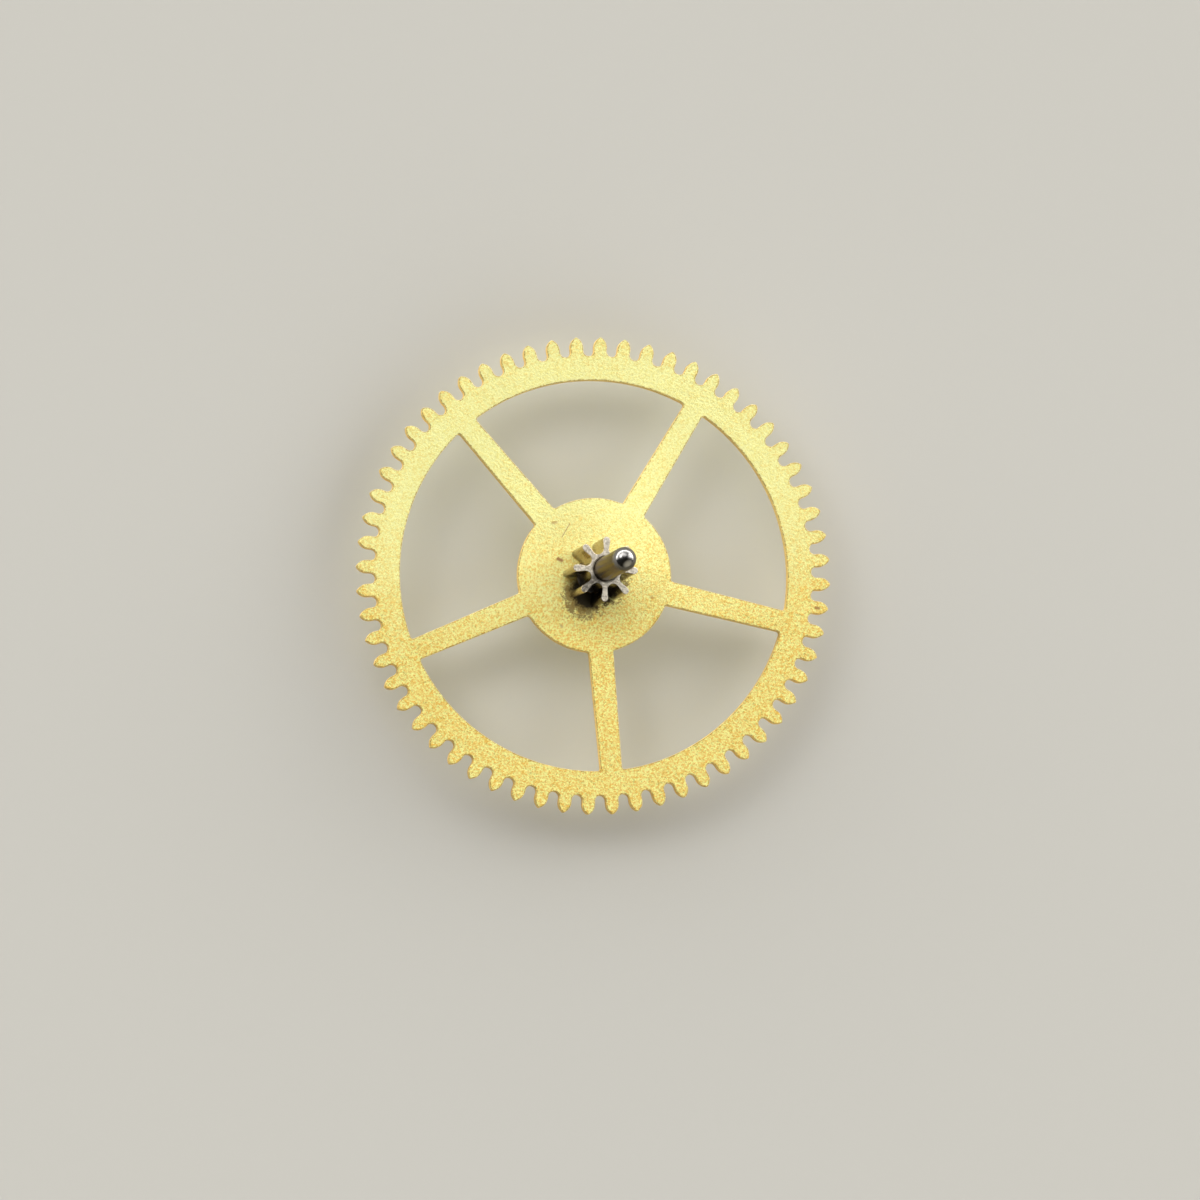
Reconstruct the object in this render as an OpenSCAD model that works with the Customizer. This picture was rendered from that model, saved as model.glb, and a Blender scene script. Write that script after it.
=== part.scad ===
// Third wheel of a watch: a toothed brass wheel riveted on a steel pinion,
// which is turned in one piece with its arbor and its two pivots.
// Millimetres, +Z along the arbor, with the tip of the lower pivot at the origin.

/* [Wheel teeth] */
// Module of the wheel's teeth
wheel_module = 0.13; // [0.12:0.005:0.16]
// Number of teeth
wheel_teeth = 60; // [54:2:72]
// Height of a tooth above the pitch circle
tooth_addendum = 0.177; // [0.16:0.001:0.19]
// Depth of a gap below the pitch circle
tooth_dedendum = 0.148; // [0.13:0.001:0.2]
// Thickness of a tooth, along the pitch circle
tooth_w = 0.218; // [0.19:0.002:0.24]
// Radius of the round at a tooth's tip
tooth_tip_round = 0.032; // [0.02:0.002:0.05]
// Turn of the teeth from the centre line of a spoke, in degrees
tooth_turn = -0.5; // [-3:0.1:3]

/* [Wheel plate] */
// Thickness of the plate
plate_t = 0.18; // [0.12:0.01:0.3]
// Width of the rim, from the bottom of the tooth gaps to the openings
rim_w = 0.412; // [0.3:0.001:0.5]
// Diameter of the hub
hub_d = 2.636; // [2:0.002:3.2]
// Number of spokes
spokes = 5; // [4:1:6]
// Width of a spoke where it leaves the hub
spoke_hub_w = 0.415; // [0.3:0.005:0.6]
// Width of a spoke where it meets the rim
spoke_rim_w = 0.365; // [0.25:0.005:0.55]
// Radius in the corners of the openings
corner_r = 0.05; // [0.03:0.005:0.12]

/* [Pinion] */
// Module of the pinion's leaves
pinion_module = 0.12; // [0.115:0.0025:0.135]
// Number of leaves
leaves = 8; // [7:1:9]
// Height of a leaf above the pitch circle
leaf_addendum = 0.072; // [0.065:0.001:0.09]
// Depth of a gap below the pitch circle
leaf_dedendum = 0.206; // [0.18:0.001:0.22]
// Thickness of a leaf, along the pitch circle
leaf_w = 0.122; // [0.11:0.002:0.14]
// Radius of the round at a leaf's tip
leaf_tip_round = 0.055; // [0.045:0.001:0.058]
// Turn of the leaves from the centre line of a spoke, in degrees
leaf_turn = 38; // [0:0.5:45]
// Height of the leaves above the plate
pinion_h = 1.21; // [0.8:0.01:1.6]

// Width of the hollow turned in the pinion's upper face, round the arbor
hollow_w = 0.03; // [0.015:0.005:0.04]
// Depth of that hollow
hollow_h = 0.04; // [0.02:0.005:0.1]

/* [Upper arbor] */
// Diameter of the arbor, which is its own pivot at the upper end
arbor_d = 0.4; // [0.38:0.002:0.42]
// Height of the arbor, from the pinion to the round end
arbor_h = 1.975; // [1.4:0.005:2.6]
// Height of the round end
upper_dome_h = 0.165; // [0.05:0.005:0.185]

/* [Rivet and lower arbor] */
// Diameter of the seat on which the wheel is riveted
seat_d = 0.62; // [0.6:0.01:0.9]
// Width of the lip that holds the plate from below
rivet_w = 0.06; // [0.03:0.005:0.1]
// Height of that lip
rivet_h = 0.05; // [0.03:0.005:0.1]
// Diameter of the lower arbor
lower_arbor_d = 0.6; // [0.5:0.01:0.6]
// Height of the lower arbor, from the plate to the shoulder
lower_arbor_h = 0.4; // [0.2:0.01:0.8]
// Diameter of the lower pivot
lower_pivot_d = 0.28; // [0.2:0.01:0.38]
// Height of the lower pivot, with its round end
lower_pivot_h = 0.36; // [0.3:0.01:0.5]
// Height of the lower pivot's round end
lower_dome_h = 0.12; // [0.05:0.005:0.16]

/* [Hidden] */
$fn = 64;

// Straight steps along each kind of round stretch of an outline
root_steps = 3;
flank_steps = 3;
tip_steps = 2;
corner_steps = 4;
rim_steps = 12;
hub_steps = 8;

full_turn = 360;
half_turn = 180;
quarter_turn = 90;

// Radii of the wheel
wheel_pitch_r = wheel_module * wheel_teeth / 2;
wheel_root_r = wheel_pitch_r - tooth_dedendum;
rim_inner_r = wheel_root_r - rim_w;
hub_r = hub_d / 2;
seat_r = seat_d / 2;

// Radii of the pinion
pinion_pitch_r = pinion_module * leaves / 2;
hollow_r = arbor_d / 2 + hollow_w;

// Heights from the tip of the lower pivot
lower_shoulder_z = lower_pivot_h;
plate_z = lower_shoulder_z + lower_arbor_h;
plate_top_z = plate_z + plate_t;
pinion_top_z = plate_top_z + pinion_h;
hollow_z = pinion_top_z - hollow_h;

// Direction of the first spoke
first_spoke = -quarter_turn;

brass = [0.9, 0.78, 0.44];
steel = [0.62, 0.61, 0.63];

// A point at an angle and a distance from the axis
function polar(r, a) = r * [cos(a), sin(a)];

// The direction of a vector, in degrees
function heading(v) = atan2(v.y, v.x);

// Points along an arc, without the first of them where skip is 1
function arc(centre, r, start, end, steps, skip = 0) =
    [for (i = [skip:steps]) centre + polar(r, start + (end - start) * i / steps)];

// A half outline and its mirror image in a line through the axis, with the
// two points on that line held once and the last point left to what follows
function both_sides(half, line_angle) =
    concat(half, [for (i = [len(half) - 2:-1:1])
        polar(norm(half[i]), 2 * line_angle - heading(half[i]))]);

// Half of one tooth, from the bottom of its gap to its tip on the X axis. The
// gap is round, the flank radial up to the pitch circle, and from there an arc
// runs on into the round of the tip.
function half_tooth(count, pitch_r, addendum, dedendum, width, tip_round) =
    let (half_pitch = half_turn / count,
         half_w = width / 2 / pitch_r * half_turn / PI,
         gap = half_pitch - half_w,
         gap_centre_r = (pitch_r - dedendum) / (1 - sin(gap)),
         foot = polar(pitch_r, -half_w),
         inward = polar(1, quarter_turn - half_w),
         tip_centre = [pitch_r + addendum - tip_round, 0],
         rise = tip_centre - foot,
         flank_r = (rise * rise - tip_round * tip_round) / (2 * (rise * inward - tip_round)),
         flank_centre = foot + flank_r * inward,
         tip_start = heading(tip_centre - flank_centre))
    concat(
        arc(polar(gap_centre_r, -half_pitch), gap_centre_r * sin(gap),
            half_turn - half_pitch, quarter_turn - half_w, root_steps),
        arc(flank_centre, flank_r, -quarter_turn - half_w, tip_start, flank_steps),
        arc(tip_centre, tip_round, tip_start, 0, tip_steps, skip = 1));

// The whole outline of a gear, with a tooth at the angle of turn
function gear_outline(count, half, turn) =
    let (one = both_sides(half, 0))
    [for (k = [0:count - 1]) for (p = one)
        polar(norm(p), heading(p) + turn + k * full_turn / count)];

// One opening between two spokes, the first of them along the X axis. The edge
// of a spoke is a straight line, met by the hub and by the rim in a round corner.
function opening_outline() =
    let (middle = half_turn / spokes,
         taper = atan((spoke_hub_w - spoke_rim_w) / 2 / (rim_inner_r - hub_r)),
         out = polar(1, quarter_turn - taper),
         along = polar(1, -taper),
         offset_r = [hub_r, spoke_hub_w / 2] * out + corner_r,
         hub_run = sqrt(pow(hub_r + corner_r, 2) - pow(offset_r, 2)),
         rim_run = sqrt(pow(rim_inner_r - corner_r, 2) - pow(offset_r, 2)),
         hub_corner = offset_r * out + hub_run * along,
         rim_corner = offset_r * out + rim_run * along)
    both_sides(concat(
        arc([0, 0], hub_r, middle, heading(hub_corner), hub_steps),
        arc(hub_corner, corner_r, half_turn + heading(hub_corner),
            half_turn + quarter_turn - taper, corner_steps, skip = 1),
        arc(rim_corner, corner_r, -quarter_turn - taper, heading(rim_corner), corner_steps),
        arc([0, 0], rim_inner_r, heading(rim_corner), middle, rim_steps, skip = 1)), middle);

// A rod that stands on the XY plane and ends in a dome
module round_ended_rod(d, h, dome_h) {
    dome_r = (pow(d / 2, 2) + pow(dome_h, 2)) / (2 * dome_h);
    cylinder(d = d, h = h - dome_h);
    translate([0, 0, h - dome_h])
        intersection() {
            translate([0, 0, dome_h - dome_r]) sphere(r = dome_r);
            cylinder(r = dome_r, h = dome_h);
        }
}

// The plate with its teeth, its spokes and the hole that sits on the pinion's seat
module toothed_wheel() {
    tooth = half_tooth(wheel_teeth, wheel_pitch_r, tooth_addendum, tooth_dedendum,
                       tooth_w, tooth_tip_round);
    color(brass)
        translate([0, 0, plate_z])
        linear_extrude(plate_t)
        difference() {
            polygon(gear_outline(wheel_teeth, tooth, first_spoke + tooth_turn));
            for (k = [0:spokes - 1])
                rotate(first_spoke + k * full_turn / spokes) polygon(opening_outline());
            circle(r = seat_r);
        }
}

// The pinion with its arbor, its seat, the rivet below the plate and both pivots
module pinion_arbor() {
    leaf = half_tooth(leaves, pinion_pitch_r, leaf_addendum, leaf_dedendum,
                      leaf_w, leaf_tip_round);
    leaf_outline = gear_outline(leaves, leaf, first_spoke + leaf_turn);
    color(steel) {
        translate([0, 0, plate_top_z])
            linear_extrude(pinion_h - hollow_h) polygon(leaf_outline);
        translate([0, 0, hollow_z])
            linear_extrude(hollow_h)
            difference() {
                polygon(leaf_outline);
                circle(r = hollow_r);
            }
        translate([0, 0, hollow_z])
            round_ended_rod(arbor_d, hollow_h + arbor_h + upper_dome_h, upper_dome_h);
        translate([0, 0, plate_z])
            cylinder(r = seat_r, h = plate_t);
        translate([0, 0, plate_z - rivet_h])
            cylinder(r1 = seat_r, r2 = seat_r + rivet_w, h = rivet_h);
        translate([0, 0, lower_shoulder_z])
            cylinder(d = lower_arbor_d, h = lower_arbor_h);
        translate([0, 0, lower_shoulder_z])
            mirror([0, 0, 1]) round_ended_rod(lower_pivot_d, lower_pivot_h, lower_dome_h);
    }
}

toothed_wheel();
pinion_arbor();
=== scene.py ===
"""The third wheel of a watch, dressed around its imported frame.

A gilt brass wheel with sixty teeth sits on a steel pinion that is one piece with its arbor. The
outlines of the wheel and of the leaves follow from a few sizes, so Geometry Nodes trees work them
out. Everything is in metres, with +Z along the arbor and the tip of the lower pivot at the origin.
"""

import logging
import math
from collections.abc import Callable, Mapping, Sequence
from dataclasses import dataclass
from enum import Enum
from typing import Union

import bpy
from bpy.types import ID, Material, Mesh, Node, NodeSocket, NodeTree, Object
from mathutils import Matrix, Vector


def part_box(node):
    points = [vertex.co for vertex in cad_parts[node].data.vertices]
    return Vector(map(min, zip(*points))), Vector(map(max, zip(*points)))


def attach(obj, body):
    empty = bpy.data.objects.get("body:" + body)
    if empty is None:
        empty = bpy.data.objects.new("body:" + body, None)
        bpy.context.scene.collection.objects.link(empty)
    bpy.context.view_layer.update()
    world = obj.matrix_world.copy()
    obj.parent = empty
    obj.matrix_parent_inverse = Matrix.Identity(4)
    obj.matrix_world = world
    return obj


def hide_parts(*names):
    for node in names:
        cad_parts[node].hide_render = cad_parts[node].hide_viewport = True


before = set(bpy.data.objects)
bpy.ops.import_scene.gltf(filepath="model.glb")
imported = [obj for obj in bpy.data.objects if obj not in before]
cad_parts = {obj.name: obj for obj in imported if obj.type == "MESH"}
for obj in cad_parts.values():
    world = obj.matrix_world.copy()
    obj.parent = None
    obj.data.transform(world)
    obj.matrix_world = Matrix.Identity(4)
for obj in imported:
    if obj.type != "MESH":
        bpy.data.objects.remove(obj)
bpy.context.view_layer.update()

LOG = logging.getLogger("third_wheel")
MM = 0.001
WORN = "worn"
MIDDLE = 0.5
FULL_TURN = 2 * math.pi
HALF_TURN = math.pi
QUARTER_TURN = math.pi / 2


class Sum(Enum):
    """The sums that a Math node is used for."""

    ADD = "ADD"
    SUBTRACT = "SUBTRACT"
    MULTIPLY = "MULTIPLY"
    DIVIDE = "DIVIDE"
    ROOT = "SQRT"
    SINE = "SINE"
    COSINE = "COSINE"
    HEADING = "ARCTAN2"
    SIZE = "ABSOLUTE"
    LEAST = "MINIMUM"
    MOST = "MAXIMUM"
    FLOOR = "FLOOR"
    ABOVE = "GREATER_THAN"


class Side(Enum):
    """On which side of an outline the metal lies."""

    INSIDE = 1
    OUTSIDE = -1


class Joint(Enum):
    """The ways in which one solid is worked into another."""

    ADDED = "UNION"
    CUT_OUT = "DIFFERENCE"


Number = Union["Value", float, int]
Span = tuple[float, float]
Colour = tuple[float, float, float]
Layer = tuple[Number, Colour]
Sockets = Mapping[str | int, object]
BLACK: Colour = (0.0, 0.0, 0.0)


def worked(operation: Sum, turned: bool = False) -> Callable[..., "Value"]:
    """A method of Value that works a sum out.

    Args:
        operation: The sum.
        turned: Whether self comes last in it, instead of first.

    Returns:
        The method.
    """
    def method(self: "Value", *others: Number) -> "Value":
        """The sum of self and the others."""
        numbers = (*others, self) if turned else (self, *others)
        return self.sheet.sum(operation, *numbers)

    return method


@dataclass(frozen=True)
class Value:
    """A number that a node tree works out, so that sums on it are Python expressions.

    A comparison gives 1 or 0. Angles are in radians, and floor gives the whole number below.
    """

    sheet: "NodeSheet"
    socket: NodeSocket

    __add__, __radd__ = worked(Sum.ADD), worked(Sum.ADD, turned=True)
    __sub__, __rsub__ = worked(Sum.SUBTRACT), worked(Sum.SUBTRACT, turned=True)
    __mul__, __rmul__ = worked(Sum.MULTIPLY), worked(Sum.MULTIPLY, turned=True)
    __truediv__, __rtruediv__ = worked(Sum.DIVIDE), worked(Sum.DIVIDE, turned=True)
    __gt__, __abs__ = worked(Sum.ABOVE), worked(Sum.SIZE)
    sine, cosine = worked(Sum.SINE), worked(Sum.COSINE)
    root, floor = worked(Sum.ROOT), worked(Sum.FLOOR)
    at_most, at_least = worked(Sum.LEAST), worked(Sum.MOST)

    def __neg__(self) -> "Value":
        """Nought less self."""
        return 0.0 - self

    def clamped(self) -> "Value":
        """Self, kept between 0 and 1."""
        return self.at_least(0.0).at_most(1.0)

    def ramp(self, low: float, high: float) -> "Value":
        """How far self has come from low to high, as a number from 0 to 1."""
        return ((self - low) / (high - low)).clamped()


class NodeSheet:
    """A node tree that is being written, for a finish or for a shape."""

    def __init__(self, tree: NodeTree) -> None:
        """Starts on an empty tree, which takes the nodes."""
        self.tree = tree

    def node(self, kind: str, sockets: Sockets | None = None, **settings: object) -> Node:
        """Adds one node.

        Args:
            kind: The node's type.
            sockets: What each input holds: a number, a colour, a Value, a node or a socket.
            **settings: The node's settings, which are made first.

        Returns:
            The new node.
        """
        made = self.tree.nodes.new(kind)
        for name, setting in settings.items():
            setattr(made, name, setting)
        for name, content in (sockets or {}).items():
            self._feed(self._input(made, name), content)
        return made

    def value(
        self, kind: str, sockets: Sockets | None = None, output: str | int = 0, **settings: object,
    ) -> Value:
        """Adds one node and gives an output of it, ready for sums.

        Args:
            kind: The node's type.
            sockets: As for node().
            output: The output's name or number.
            **settings: As for node().

        Returns:
            The output as a Value.
        """
        return Value(self, self.node(kind, sockets, **settings).outputs[output])

    def sum(self, operation: Sum, *numbers: Number) -> Value:
        """The result of a Math node that works on those numbers."""
        return self.value("ShaderNodeMath", dict(enumerate(numbers)), operation=operation.value)

    def vector(self, x: Number, y: Number, z: Number) -> Value:
        """A vector from its three parts."""
        return self.value("ShaderNodeCombineXYZ", {0: x, 1: y, 2: z})

    def facing_of(self, vector: object, way: Vector) -> Value:
        """How far a unit vector faces a way, from -1 to 1."""
        sockets = {0: vector, 1: tuple(way)}
        return self.value("ShaderNodeVectorMath", sockets, "Value", operation="DOT_PRODUCT")

    def parts(self, vector: object) -> tuple[Value, Value, Value]:
        """The three parts of a vector."""
        split = self.node("ShaderNodeSeparateXYZ", {0: vector})
        return tuple(Value(self, part) for part in split.outputs)

    @staticmethod
    def _input(node: Node, name: str | int) -> NodeSocket:
        """The input of a number, or the first input in use that has a name.

        Args:
            node: The node.
            name: The number or the name.

        Returns:
            The input.
        """
        if isinstance(name, int):
            return node.inputs[name]
        return next(s for s in node.inputs if s.name == name and s.enabled)

    @staticmethod
    def _output(node: Node) -> NodeSocket:
        """The first output in use."""
        return next(s for s in node.outputs if s.enabled)

    def _feed(self, socket: NodeSocket, content: object) -> None:
        """Links content to a socket, or sets it there as the socket's own value.

        Args:
            socket: The input that is fed.
            content: A Value, a node or a socket to link, or else the plain value.
        """
        if isinstance(content, Value):
            self.tree.links.new(content.socket, socket)
        elif isinstance(content, Node):
            self.tree.links.new(self._output(content), socket)
        elif isinstance(content, NodeSocket):
            self.tree.links.new(content, socket)
        else:
            socket.default_value = content


@dataclass(frozen=True)
class Arc:
    """One round stretch of an outline, from one angle to another round a centre.

    The stretch before it runs on into it where joined is true, and otherwise a straight line
    leads there.
    """

    centre: tuple[Number, Number]
    radius: Number
    start: Number
    end: Number
    steps: int
    joined: bool = False


@dataclass(frozen=True)
class EdgeForm:
    """The edges of a plate: their round, the worn band beside it and the steps of the round."""

    round: float
    band: float
    steps: int


class ShapeSheet(NodeSheet):
    """A Geometry Nodes tree with named sizes, which ends as a plain mesh."""

    MERGE = 0.0001 * MM
    HALF_STEP = 0.5

    def __init__(self, name: str) -> None:
        """Starts a tree that has a geometry output.

        Args:
            name: The tree's name.
        """
        super().__init__(bpy.data.node_groups.new(name, "GeometryNodeTree"))
        self.tree.interface.new_socket(
            "Geometry", in_out="OUTPUT", socket_type="NodeSocketGeometry")
        self.inputs = self.tree.nodes.new("NodeGroupInput")
        self.given: dict[str, object] = {}

    def size(self, name: str, amount: float | int) -> Value:
        """Declares a named input that holds a size or a count.

        Args:
            name: The input's name.
            amount: What the modifier gives it.

        Returns:
            The input as a Value.
        """
        kind = "NodeSocketInt" if isinstance(amount, int) else "NodeSocketFloat"
        return Value(self, self._declare(name, kind, amount))

    def _declare(self, name: str, kind: str, content: object) -> NodeSocket:
        """Adds an input to the tree, and notes by its identifier what it will be given.

        Args:
            name: The input's name.
            kind: The type of its socket.
            content: What the modifier gives it.

        Returns:
            The input, as the tree's own nodes see it.
        """
        socket = self.tree.interface.new_socket(name, in_out="INPUT", socket_type=kind)
        self.given[socket.identifier] = content
        return next(s for s in self.inputs.outputs if s.identifier == socket.identifier)

    def along(self, place: Value, arcs: Sequence[Arc]) -> tuple[Value, Value]:
        """The point that lies a number of steps along a run of arcs.

        Args:
            place: The number of steps from the first arc's start.
            arcs: The arcs, in order.

        Returns:
            The point's x and y.
        """
        x = y = None
        for arc, first in zip(arcs, self.first_steps(arcs)):
            share = ((place - first) / arc.steps).clamped()
            angle = arc.start + (arc.end - arc.start) * share
            here_x = arc.centre[0] + arc.radius * angle.cosine()
            here_y = arc.centre[1] + arc.radius * angle.sine()
            if x is None:
                x, y = here_x, here_y
            else:
                reached = place > first - self.HALF_STEP
                x, y = x + (here_x - x) * reached, y + (here_y - y) * reached
        return x, y

    def outline(self, count: Number, half: Sequence[Arc], side: Side) -> Node:
        """A closed outline made of equal parts, each of them two mirrored halves.

        The first point of the half lies on the line between two parts and its last on the X axis,
        which is the middle line of the first part.

        Args:
            count: How many parts there are.
            half: The half part's arcs.
            side: On which side of the outline the metal lies.

        Returns:
            The node that gives the outline as a curve.
        """
        last = self.last_step(half)
        number = self.value("GeometryNodeInputIndex")
        part = (number / (2 * last)).floor()
        place = number - part * (2 * last)
        x, y = self.along(last - abs(place - last), half)
        mirror = 1 - 2 * (place > last + self.HALF_STEP)
        y = y * mirror * side.value
        turn = part * FULL_TURN / count
        ring = self.node("GeometryNodeCurvePrimitiveCircle", {"Resolution": count * (2 * last)})
        cosine, sine = turn.cosine(), turn.sine()
        spot = self.vector(x * cosine - y * sine, x * sine + y * cosine, 0.0)
        return self.node("GeometryNodeSetPosition", {"Geometry": ring, "Position": spot})

    @staticmethod
    def first_steps(arcs: Sequence[Arc]) -> list[int]:
        """The number of the point at which each arc of a run starts.

        Args:
            arcs: The arcs, in order.

        Returns:
            The numbers, the first of them 0.
        """
        firsts = [0]
        for arc, following in zip(arcs, arcs[1:]):
            firsts.append(firsts[-1] + arc.steps + (not following.joined))
        return firsts

    def last_step(self, arcs: Sequence[Arc]) -> int:
        """The number of the last point along a run of arcs."""
        return self.first_steps(arcs)[-1] + arcs[-1].steps

    def strip(self, arcs: Sequence[Arc]) -> Node:
        """An open curve along a run of arcs.

        Args:
            arcs: The arcs, in order.

        Returns:
            The node that gives the curve.
        """
        line = self.node("GeometryNodeCurvePrimitiveLine")
        count = self.last_step(arcs) + 1
        points = self.node("GeometryNodeResampleCurve", {"Curve": line, "Count": count})
        x, y = self.along(self.value("GeometryNodeInputIndex"), arcs)
        spot = self.vector(x, y, 0.0)
        return self.node("GeometryNodeSetPosition", {"Geometry": points, "Position": spot})

    def turned(self, shape: object, angle: Number) -> Node:
        """A shape turned about the Z axis."""
        turn = self.vector(0.0, 0.0, angle)
        return self.node("GeometryNodeTransform", {"Geometry": shape, "Rotation": turn})

    def raised(self, shape: object, height: Number) -> Node:
        """A shape moved along the Z axis."""
        move = self.vector(0.0, 0.0, height)
        return self.node("GeometryNodeTransform", {"Geometry": shape, "Translation": move})

    def joined(self, *shapes: object) -> Node:
        """Several shapes as one.

        Args:
            *shapes: The shapes.

        Returns:
            The node that gives them together.
        """
        join = self.node("GeometryNodeJoinGeometry")
        for shape in shapes:
            self._feed(join.inputs[0], shape)
        return join

    def slab(self, outlines: object, low: float, high: float, form: EdgeForm) -> Node:
        """A plate with rounded edges, cut to outlines that lie round its middle height.

        The attribute "worn" is 1 on its walls and fades out on its faces over a narrow band.

        Args:
            outlines: The outlines as curves, with the metal on the left of their direction.
            low: The height of its lower face.
            high: The height of its upper face.
            form: What its edges are like.

        Returns:
            The node that gives the plate as a closed mesh.
        """
        thickness = self.size("Thickness", high - low)
        edge = self.size("Edge Round", form.round)
        band = self.size("Worn Band", form.band)
        upright = self.node("GeometryNodeSetCurveNormal", {"Curve": outlines}, mode="Z_UP")
        level = thickness / 2 - edge
        profile = [
            Arc((-edge - band, -level), edge, -QUARTER_TURN, -QUARTER_TURN, 1),
            Arc((-edge, -level), edge, -QUARTER_TURN, 0.0, form.steps),
            Arc((-edge, level), edge, 0.0, QUARTER_TURN, form.steps),
            Arc((-edge - band, level), edge, QUARTER_TURN, QUARTER_TURN, 1),
        ]
        number = self.value("GeometryNodeInputIndex")
        last_wall = self.last_step(profile) - 2
        worn = (number > 2 - self.HALF_STEP) * (1 - (number > last_wall + self.HALF_STEP))
        sockets = {"Geometry": self.strip(profile), "Name": WORN, "Value": worn}
        wall = self.node(
            "GeometryNodeStoreNamedAttribute", sockets, data_type="FLOAT", domain="POINT")
        walls = self.node("GeometryNodeCurveToMesh", {"Curve": upright, "Profile Curve": wall})
        smooth = self.node("GeometryNodeSetShadeSmooth", {"Geometry": walls})
        across, along, _ = self.parts(self.node("GeometryNodeInputTangent"))
        inset = edge + band
        inwards = self.vector(-along * inset, across * inset, 0.0)
        inner = self.node("GeometryNodeSetPosition", {"Geometry": upright, "Offset": inwards})
        face = self.node("GeometryNodeFillCurve", {"Curve": inner})
        flat = self.node("GeometryNodeSetShadeSmooth", {"Geometry": face, "Shade Smooth": False})
        top = self.raised(flat, thickness / 2)
        bottom = self.node("GeometryNodeFlipFaces", {"Mesh": self.raised(flat, -thickness / 2)})
        sockets = {"Geometry": self.joined(smooth, top, bottom), "Distance": self.MERGE}
        shell = self.node("GeometryNodeMergeByDistance", sockets)
        return self.raised(shell, self.size("Lower Face", low) + thickness / 2)

    def solid(self, shape: object, material: Material | None, name: str) -> Object:
        """Ends the tree and turns its result into a plain mesh, on an object of its own.

        Args:
            shape: What the tree gives.
            material: Its material, or None where a later step dresses it.
            name: The object's name.

        Returns:
            The object, which has no modifier any more.
        """
        finish = self._declare("Finish", "NodeSocketMaterial", material)
        real = self.node("GeometryNodeRealizeInstances", {"Geometry": shape})
        dressed = self.node("GeometryNodeSetMaterial", {"Geometry": real, "Material": finish})
        self.node("NodeGroupOutput", {"Geometry": dressed})
        carrier = add_object(bpy.data.meshes.new("carrier"))
        modifier = carrier.modifiers.new(self.tree.name, "NODES")
        modifier.node_group = self.tree
        for identifier, content in self.given.items():
            modifier[identifier] = content
        seen = carrier.evaluated_get(bpy.context.evaluated_depsgraph_get())
        made = bpy.data.meshes.new_from_object(seen)
        made.name = name
        carrier.modifiers.clear()
        bpy.data.objects.remove(carrier)
        return add_object(made)


@dataclass(frozen=True)
class ToothForm:
    """The teeth of a gear: a round gap, a radial flank and an arc that runs into a round tip."""

    count: int
    module: float
    addendum: float
    dedendum: float
    width: float
    tip_round: float
    gap_steps: int = 8
    flank_steps: int = 8
    tip_steps: int = 6

    @property
    def pitch_radius(self) -> float:
        """The radius on which the teeth are as wide as stated."""
        return self.module * self.count / 2

    @property
    def root_radius(self) -> float:
        """The radius of the bottoms of the gaps."""
        return self.pitch_radius - self.dedendum

    def half(self, sheet: ShapeSheet) -> tuple[Value, list[Arc]]:
        """One half of a tooth, worked out in a tree from named inputs.

        Args:
            sheet: The tree.

        Returns:
            The number of teeth, and the arcs from the bottom of a gap to the tip on the X axis.
        """
        count = sheet.size("Teeth", self.count)
        pitch = sheet.size("Pitch Radius", self.pitch_radius)
        width = sheet.size("Tooth Width", self.width)
        tip_round = sheet.size("Tip Round", self.tip_round)
        root = pitch - sheet.size("Dedendum", self.dedendum)
        tip = pitch + sheet.size("Addendum", self.addendum) - tip_round

        half_pitch = HALF_TURN / count
        half_width = width / pitch / 2
        gap = half_pitch - half_width
        gap_centre = root / (1 - gap.sine())
        inward_x, inward_y = half_width.sine(), half_width.cosine()
        foot_x, foot_y = pitch * inward_y, -pitch * inward_x
        rise_x, rise_y = tip - foot_x, -foot_y
        reach = rise_x * rise_x + rise_y * rise_y - tip_round * tip_round
        flank = reach / (2 * (rise_x * inward_x + rise_y * inward_y - tip_round))
        flank_x, flank_y = foot_x + flank * inward_x, foot_y + flank * inward_y
        tip_start = sheet.sum(Sum.HEADING, -flank_y, tip - flank_x)
        return count, [
            Arc((gap_centre * half_pitch.cosine(), -gap_centre * half_pitch.sine()),
                gap_centre * gap.sine(), HALF_TURN - half_pitch, QUARTER_TURN - half_width,
                self.gap_steps),
            Arc((flank_x, flank_y), flank, -QUARTER_TURN - half_width, tip_start,
                self.flank_steps),
            Arc((tip, 0.0), tip_round, tip_start, 0.0, self.tip_steps, joined=True),
        ]


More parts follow.
